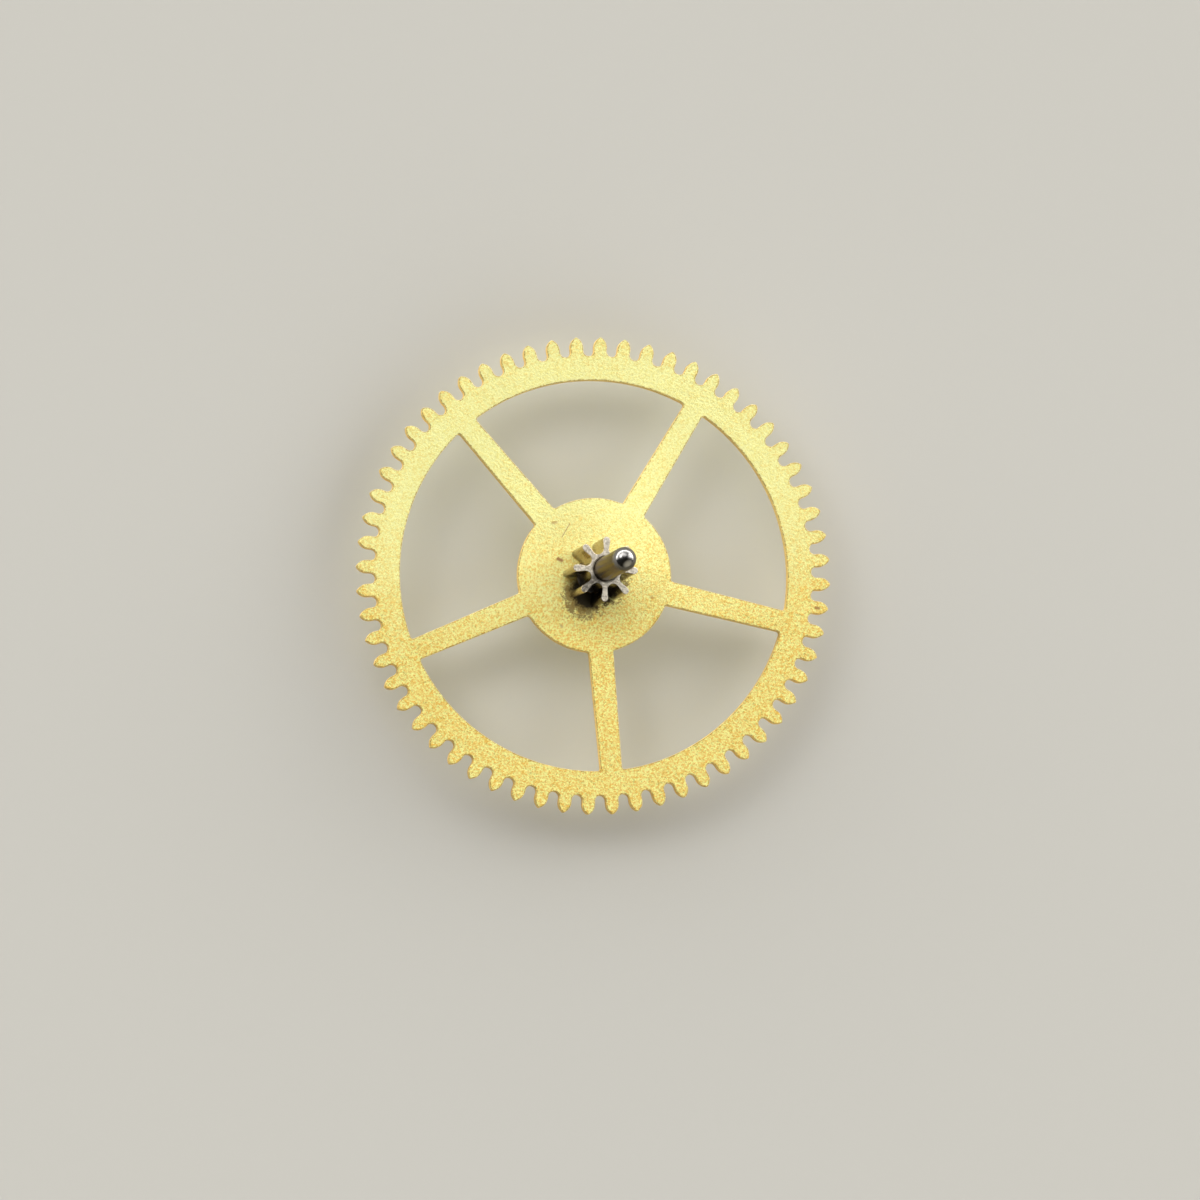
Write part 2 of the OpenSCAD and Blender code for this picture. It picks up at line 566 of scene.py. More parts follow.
@dataclass(frozen=True)
class PhotoView:
    """The camera's place and how its picture lies on the object.

    The directions are worked out from the ellipse of the wheel and the lean of the arbor.
    """

    towards_camera: Vector = Vector((-0.1611, -0.0682, 0.9846))
    picture_up: Vector = Vector((0.0745, 0.9939, 0.0810))
    picture_right: Vector = Vector((0.9841, -0.0864, 0.1550))
    picture_size: int = 1200
    pixel: float = 0.017016 * MM
    wheel_pixel: tuple[float, float] = (594.6, 575.3)
    lens: float = 200.0
    sensor: float = 36.0
    clip_ratio: float = 100.0

    def place(self, column: float, row: float) -> Vector:
        """The place on the plate's upper face, about the arbor's axis, that a pixel shows.

        Args:
            column: The pixel's column.
            row: The pixel's row.

        Returns:
            Its x and y, in metres.
        """
        across = (column - self.wheel_pixel[0]) * self.pixel
        up = (self.wheel_pixel[1] - row) * self.pixel
        axes = Matrix((self.picture_right.xy, self.picture_up.xy))
        return axes.inverted() @ Vector((across, up))

    def add_camera(self, plate_top: float) -> None:
        """Adds the scene's camera, with the plate's upper face at the photo's scale.

        Args:
            plate_top: The height of that face.
        """
        middle = self.picture_size / 2
        aim = Vector((0.0, 0.0, plate_top))
        aim += self.picture_right * (middle - self.wheel_pixel[0]) * self.pixel
        aim -= self.picture_up * (middle - self.wheel_pixel[1]) * self.pixel
        distance = self.picture_size * self.pixel * self.lens / self.sensor
        data = bpy.data.cameras.new("photo_camera")
        data.lens = self.lens
        data.sensor_width = self.sensor
        data.clip_start = distance / self.clip_ratio
        data.clip_end = distance * self.clip_ratio
        camera = add_object(data)
        turn = Matrix((self.picture_right, self.picture_up, self.towards_camera)).transposed()
        move = Matrix.Translation(aim + self.towards_camera * distance)
        camera.matrix_world = move @ turn.to_4x4()
        bpy.context.scene.camera = camera


class FinishSheet(NodeSheet):
    """A material's tree, with the textures and the mixing that the finishes share."""

    PLAIN, COARSE, FINE = 1.0, 2.0, 3.0

    def __init__(self, name: str) -> None:
        """Starts an empty material, with the places and distances that finishes read.

        Args:
            name: The material's name.
        """
        self.material = bpy.data.materials.new(name)
        self.material.use_nodes = True
        super().__init__(self.material.node_tree)
        self.tree.nodes.clear()
        self.spot = self.value("ShaderNodeTexCoord", output="Object")
        self.x, self.y, self.z = self.parts(self.spot)
        self.radius = (self.x * self.x + self.y * self.y).root()
        self.facing = self.parts(self.value("ShaderNodeTexCoord", output="Normal"))

    def noise(self, grain: float, detail: float = COARSE, spot: Value | None = None) -> Value:
        """Noise from 0 to 1.

        Args:
            grain: The size of its grains, in metres.
            detail: How many finer layers it has.
            spot: Where it is read, or else the place on the piece.

        Returns:
            The noise.
        """
        sockets = {"Vector": spot or self.spot, "Scale": 1 / grain, "Detail": detail}
        return self.value("ShaderNodeTexNoise", sockets, noise_dimensions="3D")

    def cells(self, grain: float) -> Value:
        """A number from 0 to 1 that is even over each of many small grains.

        Args:
            grain: The size of the grains.

        Returns:
            The number.
        """
        sockets = {"Vector": self.spot, "Scale": 1 / grain}
        cell = self.value("ShaderNodeTexVoronoi", sockets, "Color", voronoi_dimensions="3D")
        return self.parts(cell)[0]

    def mix(self, share: Number, first: object, second: object) -> Value:
        """A colour that goes from one to another.

        Args:
            share: How far it has gone, from 0 to 1.
            first: The colour at 0.
            second: The colour at 1.

        Returns:
            The colour.
        """
        sides = [(*side, 1.0) if isinstance(side, tuple) else side for side in (first, second)]
        sockets = {"Factor": share, "A": sides[0], "B": sides[1]}
        return Value(self, self._output(self.node("ShaderNodeMix", sockets, data_type="RGBA")))

    def layered(self, colour: object, *layers: Layer) -> Value:
        """The colour that is seen where layers cover another one.

        Args:
            colour: The colour that lies lowest.
            *layers: The layers in order, the last of them on top.

        Returns:
            The colour.
        """
        for share, cover in layers:
            colour = self.mix(share, colour, cover)
        return colour

    def towards(self, bearing: float) -> Value:
        """How far a place lies towards a bearing about the Z axis, from -1 to 1."""
        return (self.x * math.cos(bearing) + self.y * math.sin(bearing)) / self.radius

    def spread(self, first: Number, second: Number, share: Number) -> Value:
        """A number that goes from the first to the second as share goes from 0 to 1."""
        return first + (second - first) * share

    def bump(self, height: Value, depth: float, strength: float = 1.0) -> Node:
        """The bump that a height from 0 to 1 makes, depth metres deep."""
        sockets = {"Strength": strength, "Distance": depth, "Height": height}
        return self.node("ShaderNodeBump", sockets)

    def surface(self, sockets: Sockets) -> Material:
        """Ends the tree in a shader.

        Args:
            sockets: The shader's inputs.

        Returns:
            The material.
        """
        shader = self.node("ShaderNodeBsdfPrincipled", sockets)
        self.node("ShaderNodeOutputMaterial", {"Surface": shader})
        return self.material


@dataclass(frozen=True)
class Mark:
    """A small stain or a scratch, from one pixel of the photo to another."""

    start: tuple[float, float]
    end: tuple[float, float]
    radius: float
    strength: float
    core: float = 0.4

    def on(self, sheet: FinishSheet, view: PhotoView) -> Value:
        """How strongly each place of the plate is marked.

        Args:
            sheet: The material's tree.
            view: The view whose pixels give the mark's ends.

        Returns:
            The strength, from 0 to 1.
        """
        start, end = view.place(*self.start), view.place(*self.end)
        way = end - start
        x, y = sheet.x - start.x, sheet.y - start.y
        share = ((x * way.x + y * way.y) / way.length_squared).clamped()
        across, along = x - share * way.x, y - share * way.y
        distance = (across * across + along * along).root()
        return distance.ramp(self.radius, self.radius * self.core) * self.strength


@dataclass(frozen=True)
class PaintedPinionShadow:
    """Painted shadow of the pinion on the plate, near black at its foot.

    It lies on one side and runs out longer towards one bearing. A span holds the ends of a ramp.
    """

    faint_shade: Colour = (0.26, 0.17, 0.045)
    deep_shade: Colour = (0.020, 0.014, 0.004)
    bearing: float = math.radians(274)
    shadow_side_span: Span = (0.0, 0.3)
    deep_radius: float = 0.53 * MM
    deep_edge: Span = (-0.04 * MM, 0.04 * MM)
    deep_share: float = 0.95
    faint_radius: float = 0.57 * MM
    faint_edge: Span = (-0.04 * MM, 0.06 * MM)
    faint_share: float = 0.85
    side_cut: float = 0.14 * MM
    lit_side_span: Span = (0.8, 0.1)
    long_bearing: float = math.radians(238)
    long_span: Span = (0.8, 0.97)
    long_radius: float = 0.19 * MM
    long_ratio: float = 3.0
    rag_size: float = 0.09 * MM
    rag_depth: float = 0.45 * MM
    grain_depth: float = 0.1 * MM

    def layers(self, sheet: FinishSheet, grain: float) -> list[Layer]:
        """The painted shadow as a faint and a deep layer with ragged edges.

        Args:
            sheet: The material's tree.
            grain: The size of the gilding's grains, which the edges follow.

        Returns:
            The two layers, the deep one on top.
        """
        # painted shade: the pinion's shadow, a dark patch on the plate's side away from the light
        low = sheet.towards(self.bearing)
        shadowed_side = low.ramp(*self.shadow_side_span)
        long = sheet.towards(self.long_bearing).ramp(*self.long_span) * self.long_radius
        ragged = (sheet.noise(self.rag_size, sheet.FINE) - MIDDLE) * self.rag_depth
        ragged = ragged + (sheet.cells(grain) - MIDDLE) * self.grain_depth
        faint_shade = (self.faint_radius + long + ragged - sheet.radius).ramp(*self.faint_edge)
        reach = self.deep_radius - low.ramp(*self.lit_side_span) * self.side_cut
        reach = reach + ragged / 2 + long / self.long_ratio
        deep_shade = (reach - sheet.radius).ramp(*self.deep_edge)
        return [
            (faint_shade * shadowed_side * self.faint_share, self.faint_shade),
            (deep_shade * shadowed_side * self.deep_share, self.deep_shade),
        ]


@dataclass(frozen=True)
class GiltBrass:
    """Frosted gilding on brass, grained all over and stained on its edges, with painted light and
    shade.

    A span holds the ends of a ramp.
    """

    lit_side_pale: Colour = (1.0, 0.98, 0.45)
    lit_side_pale_grain: Colour = (0.93, 0.87, 0.31)
    shaded_side_golden: Colour = (1.0, 0.96, 0.35)
    shaded_side_golden_grain: Colour = (0.86, 0.53, 0.08)
    fleck: Colour = (0.50, 0.40, 0.07)
    stain: Colour = (0.33, 0.20, 0.05)
    speck: Colour = (0.36, 0.13, 0.03)
    bare: Colour = (1.0, 0.70, 0.21)
    metallic: float = 0.4
    roughness: Span = (0.45, 0.65)
    bump_depth: float = 0.012 * MM
    bump_strength: float = 0.8
    grain: float = 0.022 * MM
    grain_share: float = 0.65
    grain_bump: float = 0.6
    cloud_span: Span = (0.25, 0.75)
    tint_span: Span = (0.3, 0.78)
    lit_side_span: Span = (-1.3 * MM, 1.3 * MM)
    patch_size: float = 0.9 * MM
    patch_depth: float = 0.7
    tarnish_size: float = 0.13 * MM
    tarnish_from: float = 0.45
    tarnish_depth: float = 1.1
    tooth_span: Span = (3.6 * MM, 4.0 * MM)
    tooth_tarnish: float = 0.3
    fleck_size: float = 0.0198 * MM
    fleck_span: Span = (0.92, 0.97)
    fleck_fade: float = 0.7
    fleck_share: float = 0.6
    rim_span: Span = (1.4 * MM, 3.0 * MM)
    rim_shade: float = 0.09
    wall_span: Span = (0.02, 0.4)
    wall_share: float = 0.8
    speckle_size: float = 0.03 * MM
    speckle_depth: float = 1.6
    speckle_span: Span = (0.3, 0.55)
    darkening_span: Span = (0.5, 0.9)
    darkening_share: float = 0.85
    wall_unstained: float = 0.65
    # painted shade: the pinion's shadow on the plate
    painted_shade: PaintedPinionShadow = PaintedPinionShadow()
    marks: tuple[Mark, ...] = (
        Mark((552.8, 522.9), (556.2, 522.5), 0.032 * MM, 0.5),
        Mark((558.0, 559.0), (561.5, 560.5), 0.040 * MM, 0.85),
        Mark((569.5, 524.0), (562.0, 537.0), 0.012 * MM, 0.6),
        Mark((817.0, 608.0), (819.5, 608.5), 0.035 * MM, 0.8),
        Mark((651.2, 597.0), (652.6, 597.8), 0.035 * MM, 0.4),
        Mark((561.0, 625.6), (561.8, 626.8), 0.030 * MM, 0.5),
    )

    def gilding(self, sheet: FinishSheet, tint: Value) -> Value:
        """The colour of the clean gilding, with its grain, its flecks and painted light that pales
        it towards +Y.

        Args:
            sheet: The material's tree.
            tint: How dull each grain is, from 0 to 1.

        Returns:
            The colour.
        """
        tarnish = (sheet.noise(self.tarnish_size) - self.tarnish_from) * self.tarnish_depth
        tarnish = tarnish + sheet.radius.ramp(*self.tooth_span) * self.tooth_tarnish
        patches = (sheet.noise(self.patch_size) - MIDDLE) * self.patch_depth
        # painted light: paler and smoother towards +Y, the side facing the far lights, more golden
        # away from it
        across = sheet.y.ramp(*self.lit_side_span)
        side = (across + patches - tarnish.at_least(0.0)).clamped()
        bright = sheet.mix(side, self.shaded_side_golden, self.lit_side_pale)
        dull = sheet.mix(side, self.shaded_side_golden_grain, self.lit_side_pale_grain)
        face = sheet.mix(tint.ramp(*self.tint_span), bright, dull)
        flecks = sheet.cells(self.fleck_size).ramp(*self.fleck_span) * (1 - side * self.fleck_fade)
        return sheet.mix(flecks * self.fleck_share, face, self.fleck)

    def material(self, view: PhotoView) -> Material:
        """The finish as a material, with its marks where the photo's pixels lie on the plate.

        Args:
            view: The view whose pixels give the places of the marks.

        Returns:
            The material.
        """
        sheet = FinishSheet("gilt_brass")
        grains = sheet.cells(self.grain)
        cloud = sheet.noise(self.grain * 2, sheet.FINE)
        tint = grains * self.grain_share + cloud.ramp(*self.cloud_span) * (1 - self.grain_share)
        marked = self.marks[0].on(sheet, view)
        for mark in self.marks[1:]:
            marked = marked.at_least(mark.on(sheet, view))
        wall = (1 - abs(sheet.facing[2])).ramp(*self.wall_span)
        speckle = sheet.noise(self.speckle_size)
        edge = sheet.value("ShaderNodeAttribute", output="Fac", attribute_name=WORN)
        darkened = (edge + (speckle - MIDDLE) * self.speckle_depth).ramp(*self.darkening_span)
        darkened = darkened * (1 - wall * self.wall_unstained) * speckle.ramp(*self.speckle_span)
        height = grains * self.grain_bump + cloud
        return sheet.surface({
            "Base Color": sheet.layered(
                self.gilding(sheet, tint),
                (marked * (sheet.facing[2] > MIDDLE), self.speck),
                (sheet.radius.ramp(*self.rim_span) * self.rim_shade, BLACK),
                # painted shade: the pinion's shadow on the plate, faint and then deep
                *self.painted_shade.layers(sheet, self.grain),
                (wall * self.wall_share, self.bare),
                (darkened * self.darkening_share, self.stain),
            ),
            "Metallic": self.metallic,
            "Roughness": sheet.spread(*self.roughness, tint),
            "Normal": sheet.bump(height, self.bump_depth, self.bump_strength),
        })


@dataclass(frozen=True)
class PinionSteel:
    """Hardened steel: dark on the arbor, polished on its round end, grey on the leaves' ends.

    A span holds the ends of a ramp, and heights are those from the lower pivot's tip.
    """

    # partly painted reflection: steel brightened and warmed towards the gilt that the flanks
    # reflect
    flank_steel_and_painted_reflection: Colour = (0.70, 0.61, 0.45)
    dome_base: Colour = (0.36, 0.35, 0.34)
    dome_shade: Colour = (0.12, 0.11, 0.085)
    lower_base: Colour = (0.52, 0.50, 0.48)
    # partly painted reflection: dark steel, tinted brown like the gilt that the arbor reflects
    shaft_steel_and_painted_reflection: Colour = (0.150, 0.108, 0.052)
    end_base: Colour = (0.90, 0.84, 0.71)
    end_grain: Colour = (0.44, 0.39, 0.31)
    # painted shade: the near-black that stands in for shade between the leaves and at the arbor's
    # foot
    painted_shade: Colour = (0.020, 0.016, 0.010)
    grazing_tint: Colour = (0.73, 0.69, 0.64)
    roughness: float = 0.17
    shaft_roughness: float = 0.25
    end_roughness: float = 0.5
    end_metallic: float = 0.4
    level_span: Span = (0.9, 0.98)
    grain: float = 0.03 * MM
    dull_span: Span = (0.35, 0.65)
    dull_share: float = 0.3
    shaft_radius: float = 0.205 * MM
    shaft_foot: float = 2.0 * MM
    shaft_top: float = 4.1 * MM
    top_span: Span = (4.12 * MM, 4.08 * MM)
    ring_size: float = 0.02 * MM
    ring_bump: float = 0.5
    bump_depth: float = 0.004 * MM
    leaf_foot: float = 0.9 * MM
    # the leaves' ends are darkened towards this bearing
    end_dark_bearing: float = math.radians(222)
    darkening_span: Span = (0.86, 0.96)
    end_dark_grain: Span = (0.2, 0.5)
    darkening_share: float = 0.7
    # painted shade lies towards this bearing
    shade_bearing: float = math.radians(271)
    shade_radius: float = 0.47 * MM
    shade_edge: Span = (-0.02 * MM, 0.02 * MM)
    shade_span: Span = (0.05, 0.3)
    shade_share: float = 0.95
    far_radius: float = 0.1 * MM
    far_span: Span = (0.85, 0.95)
    dome_span: Span = (-0.1, 0.8)
    foot_span: Span = (3.1 * MM, 2.2 * MM)
    foot_side: Span = (-0.2, 0.6)
    foot_share: float = 0.7

    def material(self) -> Material:
        """The finish as a material.

        Returns:
            The material.
        """
        sheet = FinishSheet("pinion_steel")
        grain = sheet.noise(self.grain)
        outside = sheet.radius > self.shaft_radius
        above_plate = sheet.z > self.leaf_foot
        above_leaves = sheet.z > self.shaft_foot
        level = abs(sheet.facing[2]).ramp(*self.level_span) * outside
        shaft = (1 - outside) * sheet.z.ramp(*self.top_span) * above_leaves
        shade_facing = sheet.towards(self.shade_bearing)
        reach = self.shade_radius + shade_facing.ramp(*self.far_span) * self.far_radius
        gaps = (reach - sheet.radius).ramp(*self.shade_edge) * outside * above_plate
        foot = sheet.z.ramp(*self.foot_span) * shaft
        # painted shade, away from the light: near-black leaf gaps and arbor foot, and a darker
        # round end
        base = sheet.layered(
            self.lower_base,
            (above_leaves, self.dome_base),
            (outside * above_plate, self.flank_steel_and_painted_reflection),
            (shaft, self.shaft_steel_and_painted_reflection),
            (grain.ramp(*self.dull_span) * self.dull_share, BLACK),
            (shade_facing.ramp(*self.shade_span) * gaps * self.shade_share, self.painted_shade),
            (shade_facing.ramp(*self.dome_span) * (sheet.z > self.shaft_top), self.dome_shade),
            (shade_facing.ramp(*self.foot_side) * foot * self.foot_share, self.painted_shade),
        )
        # the leaves' ends are darkened towards one bearing with the near-black of the painted
        # shade
        darkened = sheet.towards(self.end_dark_bearing).ramp(*self.darkening_span)
        darkened = darkened * grain.ramp(*self.end_dark_grain) * self.darkening_share
        ends = sheet.layered(
            self.end_base, (sheet.cells(self.grain), self.end_grain), (darkened, self.painted_shade))
        rings = sheet.noise(self.ring_size, sheet.PLAIN, sheet.vector(0.0, 0.0, sheet.z))
        roughness = sheet.spread(self.roughness, self.shaft_roughness, shaft)
        return sheet.surface({
            "Base Color": sheet.mix(level, base, ends),
            "Metallic": sheet.spread(1.0, self.end_metallic, level),
            "Specular Tint": (*self.grazing_tint, 1.0),
            "Roughness": sheet.spread(roughness, self.end_roughness, level),
            "Normal": sheet.bump(grain * level + rings * shaft * self.ring_bump, self.bump_depth),
        })


@dataclass(frozen=True)
class PaleSheet:
    """The sheet that the wheel lies on, with a painted glow for the warm light the gilding throws.

    It lets the camera look through from below.
    """

    base: Colour = (0.537, 0.526, 0.484)
    roughness: float = 0.9
    specular: float = 0.1
    gilt: Colour = (1.0, 0.98, 0.45)
    glow: float = 0.047
    glow_span: Span = (4.4 * MM, 3.2 * MM)

    def material(self) -> Material:
        """The finish as a material.

        Returns:
            The material.
        """
        sheet = FinishSheet("pale_sheet")
        # painted light: the sheet glows warm within the wheel's radius
        glowing = sheet.radius.ramp(*self.glow_span)
        shader = sheet.node("ShaderNodeBsdfPrincipled", {
            "Base Color": (*self.base, 1.0),
            "Roughness": self.roughness,
            "Specular IOR Level": self.specular,
            "Emission Color": sheet.mix(glowing, BLACK, self.gilt),
            "Emission Strength": self.glow,
        })
        clear = sheet.node("ShaderNodeBsdfTransparent")
        below = sheet.value("ShaderNodeNewGeometry", output="Backfacing")
        below = below * sheet.value("ShaderNodeLightPath", output="Is Camera Ray")
        mixed = sheet.node("ShaderNodeMixShader", {0: below, 1: shader, 2: clear})
        sheet.node("ShaderNodeOutputMaterial", {"Surface": mixed})
        return sheet.material


@dataclass(frozen=True)
class ToothedWheel:
    """The brass plate: teeth, rim, spokes, hub and the bore that sits on the pinion's seat."""

    teeth: ToothForm = ToothForm(60, 0.13 * MM, 0.177 * MM, 0.148 * MM, 0.218 * MM, 0.032 * MM)
    tooth_turn: float = math.radians(-0.5)
    rim_width: float = 0.412 * MM
    hub_radius: float = 1.318 * MM
    spokes: int = 5
    first_spoke: float = -QUARTER_TURN
    spoke_hub_width: float = 0.415 * MM
    spoke_rim_width: float = 0.365 * MM
    corner_radius: float = 0.05 * MM
    bore_radius: float = 0.31 * MM
    bore_points: int = 96
    edge: EdgeForm = EdgeForm(0.01 * MM, 0.019 * MM, 3)
    hub_steps: int = 24
    corner_steps: int = 8
    rim_steps: int = 32
    node: str = "toothed_wheel"

    def opening(self, sheet: ShapeSheet, spokes: Value) -> tuple[Value, Node]:
        """The outline of the opening between two spokes, with its middle line along the X axis.

        Args:
            sheet: The tree.
            spokes: The number of spokes.

        Returns:
            The angle from a spoke to the opening's middle, and the outline.
        """
        hub = sheet.size("Hub Radius", self.hub_radius)
        rim = sheet.size("Rim Inner Radius", self.teeth.root_radius - self.rim_width)
        hub_width = sheet.size("Spoke Width At Hub", self.spoke_hub_width)
        rim_width = sheet.size("Spoke Width At Rim", self.spoke_rim_width)
        corner = sheet.size("Corner Radius", self.corner_radius)
        middle = HALF_TURN / spokes
        taper = sheet.sum(Sum.HEADING, (hub_width - rim_width) / 2, rim - hub)
        offset = hub * taper.sine() + hub_width / 2 * taper.cosine() + corner
        hub_reach, rim_reach = hub + corner, rim - corner
        hub_run = (hub_reach * hub_reach - offset * offset).root()
        rim_run = (rim_reach * rim_reach - offset * offset).root()
        hub_at = sheet.sum(Sum.HEADING, offset, hub_run) - taper - middle
        rim_at = sheet.sum(Sum.HEADING, offset, rim_run) - taper - middle
        edge_at = -QUARTER_TURN - taper - middle
        half = [
            Arc((0.0, 0.0), hub, 0.0, hub_at, self.hub_steps),
            Arc((hub_reach * hub_at.cosine(), hub_reach * hub_at.sine()), corner,
                hub_at + HALF_TURN, edge_at + FULL_TURN, self.corner_steps, joined=True),
            Arc((rim_reach * rim_at.cosine(), rim_reach * rim_at.sine()), corner,
                edge_at, rim_at, self.corner_steps),
            Arc((0.0, 0.0), rim, rim_at, 0.0, self.rim_steps, joined=True),
        ]
        return middle, sheet.outline(1, half, Side.OUTSIDE)

    def build(self, material: Material) -> Object:
        """Builds the wheel where the frame's node stands.

        Args:
            material: Its finish.

        Returns:
            The wheel, which replaces the node.
        """
        low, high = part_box(self.node)
        sheet = ShapeSheet("toothed_wheel")
        count, half = self.teeth.half(sheet)
        turn = sheet.size("First Spoke", self.first_spoke)
        tooth_turn = turn + sheet.size("Tooth Turn", self.tooth_turn)
        rim = sheet.turned(sheet.outline(count, half, Side.INSIDE), tooth_turn)
        spokes = sheet.size("Spokes", self.spokes)
        middle, opening = self.opening(sheet, spokes)
        spots = sheet.node("GeometryNodePoints", {"Count": spokes})
        angle = turn + middle + sheet.value("GeometryNodeInputIndex") * FULL_TURN / spokes
        openings = sheet.node("GeometryNodeInstanceOnPoints", {
            "Points": spots, "Instance": opening, "Rotation": sheet.vector(0.0, 0.0, angle)})
        openings = sheet.node("GeometryNodeRealizeInstances", {"Geometry": openings})
        bore = sheet.node("GeometryNodeCurvePrimitiveCircle", {
            "Resolution": self.bore_points, "Radius": sheet.size("Bore Radius", self.bore_radius)})
        bore = sheet.node("GeometryNodeReverseCurve", {"Curve": bore})
        plate = sheet.slab(sheet.joined(rim, openings, bore), low.z, high.z, self.edge)
        made = sheet.solid(plate, material, "gilt_wheel")
        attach(made, "root")
        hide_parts(self.node)
        return made


@dataclass(frozen=True)
class Corner:
    """A corner of a turned form: its radius from the axis, its height and its round."""

    radius: float
    height: float
    round: float = 0.0

    @property
    def place(self) -> Vector:
        """Its radius and its height."""
        return Vector((self.radius, self.height))


@dataclass(frozen=True)
class Turning:
    """A solid that is turned on the lathe, with its poles on the Z axis.

    A straight stretch has a point at the distance hold from each round, so that it shades flat.
    """

    facets: int = 96
    round_steps: int = 4
    hold: float = 0.01 * MM
    flat: float = 0.9999

    def line(self, corners: Sequence[Corner]) -> list[Vector]:
        """The points of a line through corners that are rounded.

        Args:
            corners: The corners in order, with no round on the first and the last.

        Returns:
            The points, each a radius and a height.
        """
        points = [corners[0].place]
        for before, corner, after in zip(corners, corners[1:], corners[2:]):
            here = corner.place
            if not corner.round:
                points.append(here)
                continue
            back = (before.place - here).normalized()
            on = (after.place - here).normalized()
            half = back.angle(on) / 2
            cut = corner.round / math.tan(half)
            centre = here + (back + on).normalized() * corner.round / math.sin(half)
            first, last = ((here + way * cut - centre).normalized() for way in (back, on))
            points.append(here + back * (cut + self.hold))
            points += [centre + first.slerp(last, i / self.round_steps) * corner.round
                       for i in range(self.round_steps + 1)]
            points.append(here + on * (cut + self.hold))
        points.append(corners[-1].place)
        return points

    def solid(self, name: str, line: Sequence[Vector]) -> Mesh:
        """The solid that a line makes when it turns about the axis.

        Args:
            name: The mesh's name.
            line: Points from one pole to the other, upwards.

        Returns:
            The mesh, with its flat faces shaded flat.
        """
        points = [(0.0, 0.0, line[0].y)]
        for spot in line[1:-1]:
            for i in range(self.facets):
                angle = FULL_TURN * i / self.facets
                points.append((spot.x * math.cos(angle), spot.x * math.sin(angle), spot.y))
        points.append((0.0, 0.0, line[-1].y))
        rings = len(line) - 2
        faces: list[tuple[int, ...]] = []
        for i in range(self.facets):
            on = (i + 1) % self.facets
            faces.append((0, 1 + on, 1 + i))
            for ring in range(rings - 1):
                low, high = 1 + ring * self.facets, 1 + (ring + 1) * self.facets
                faces.append((low + i, low + on, high + on, high + i))
            top = 1 + (rings - 1) * self.facets
            faces.append((top + i, top + on, len(points) - 1))
        mesh = bpy.data.meshes.new(name)
        mesh.from_pydata(points, [], faces)
        for face in mesh.polygons:
            face.use_smooth = abs(face.normal.z) < self.flat
        return mesh


